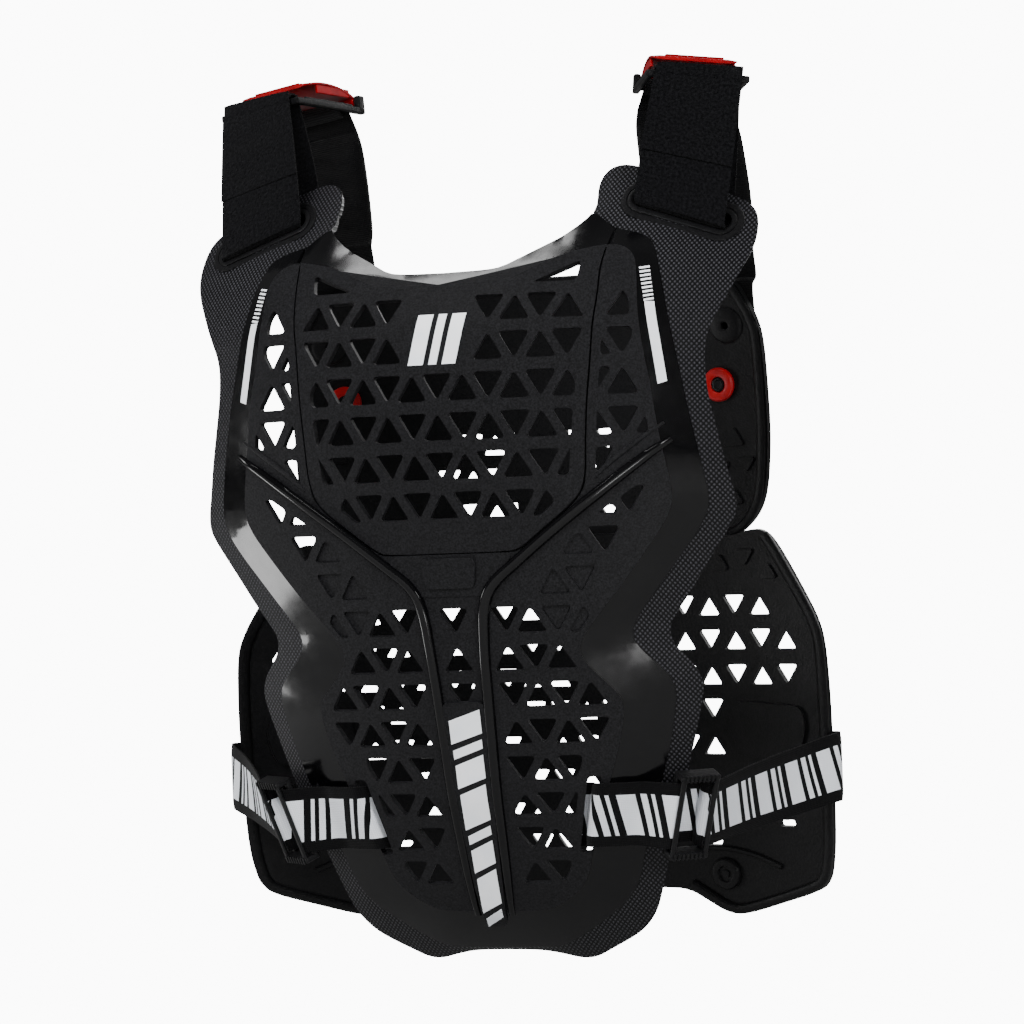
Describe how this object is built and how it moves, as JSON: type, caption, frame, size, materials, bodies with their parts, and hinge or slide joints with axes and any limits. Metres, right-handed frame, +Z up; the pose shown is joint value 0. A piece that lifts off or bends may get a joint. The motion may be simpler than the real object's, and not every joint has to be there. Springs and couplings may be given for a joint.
{
  "type": "roost deflector",
  "caption": "Worn motocross roost deflector: pierced hard chest plate and back plates joined by shoulder straps with lever buckles and by waist straps with sliders.",
  "frame": {"origin": "midway between the two shoulder buckles, just above and behind their front bars, where the wearer's shoulders hold the part up", "axes": "+Z up along the wearer's body, -Y the way the wearer faces, +X to the wearer's left"},
  "size_m": [0.3678, 0.2312, 0.501],
  "materials": {
    "gloss_shell": "moulded gloss black with a fine cross-hatched matte flange",
    "matte_grille": "moulded matte black",
    "back_plastic": "moulded satin black",
    "black_fittings": "moulded satin black",
    "black_webbing": "black hook-and-loop elastic webbing",
    "printed_elastic": null,
    "red_plastic": "moulded red plastic"
  },
  "bodies": {
    "deflector": {"chest_shell": "gloss_shell", "chest_insert": "matte_grille", "chest_tab": "matte_grille", "spine_plate": "matte_grille", "strap_eyelet_left": "black_fittings", "strap_eyelet_right": "black_fittings", "front_strap_left": "black_webbing", "front_strap_right": "black_webbing", "back_strap_left": "black_webbing", "back_strap_right": "black_webbing", "buckle_frame_left": "black_fittings", "buckle_frame_right": "black_fittings", "upper_back_plate": "back_plastic", "lower_back_plate": "back_plastic", "stud_collar_left": "red_plastic", "stud_collar_right": "red_plastic", "stud_button_left": "black_fittings", "stud_button_right": "black_fittings", "snap_stud_left": "black_fittings", "snap_stud_right": "black_fittings", "link_rivet_left": "black_fittings", "link_rivet_right": "black_fittings", "waist_front_left": "printed_elastic", "waist_front_right": "printed_elastic", "waist_rear_left": "printed_elastic", "waist_rear_right": "printed_elastic", "waist_slider_left": "black_fittings", "waist_slider_right": "black_fittings"},
    "lever_left": {"buckle_lever_left": "red_plastic"},
    "lever_right": {"buckle_lever_right": "red_plastic"}
  },
  "joints": [
    {"name": "lever_left_hinge", "type": "hinge", "parent": "deflector", "child": "lever_left", "pos_m": [0.10865, 0.04668, -0.00302], "axis": [-0.9361, -0.3407, 0.0872], "range_deg": [0, 100]},
    {"name": "lever_right_hinge", "type": "hinge", "parent": "deflector", "child": "lever_right", "pos_m": [-0.10865, 0.04668, -0.00302], "axis": [-0.9361, 0.3407, -0.0872], "range_deg": [0, 100]}
  ]
}
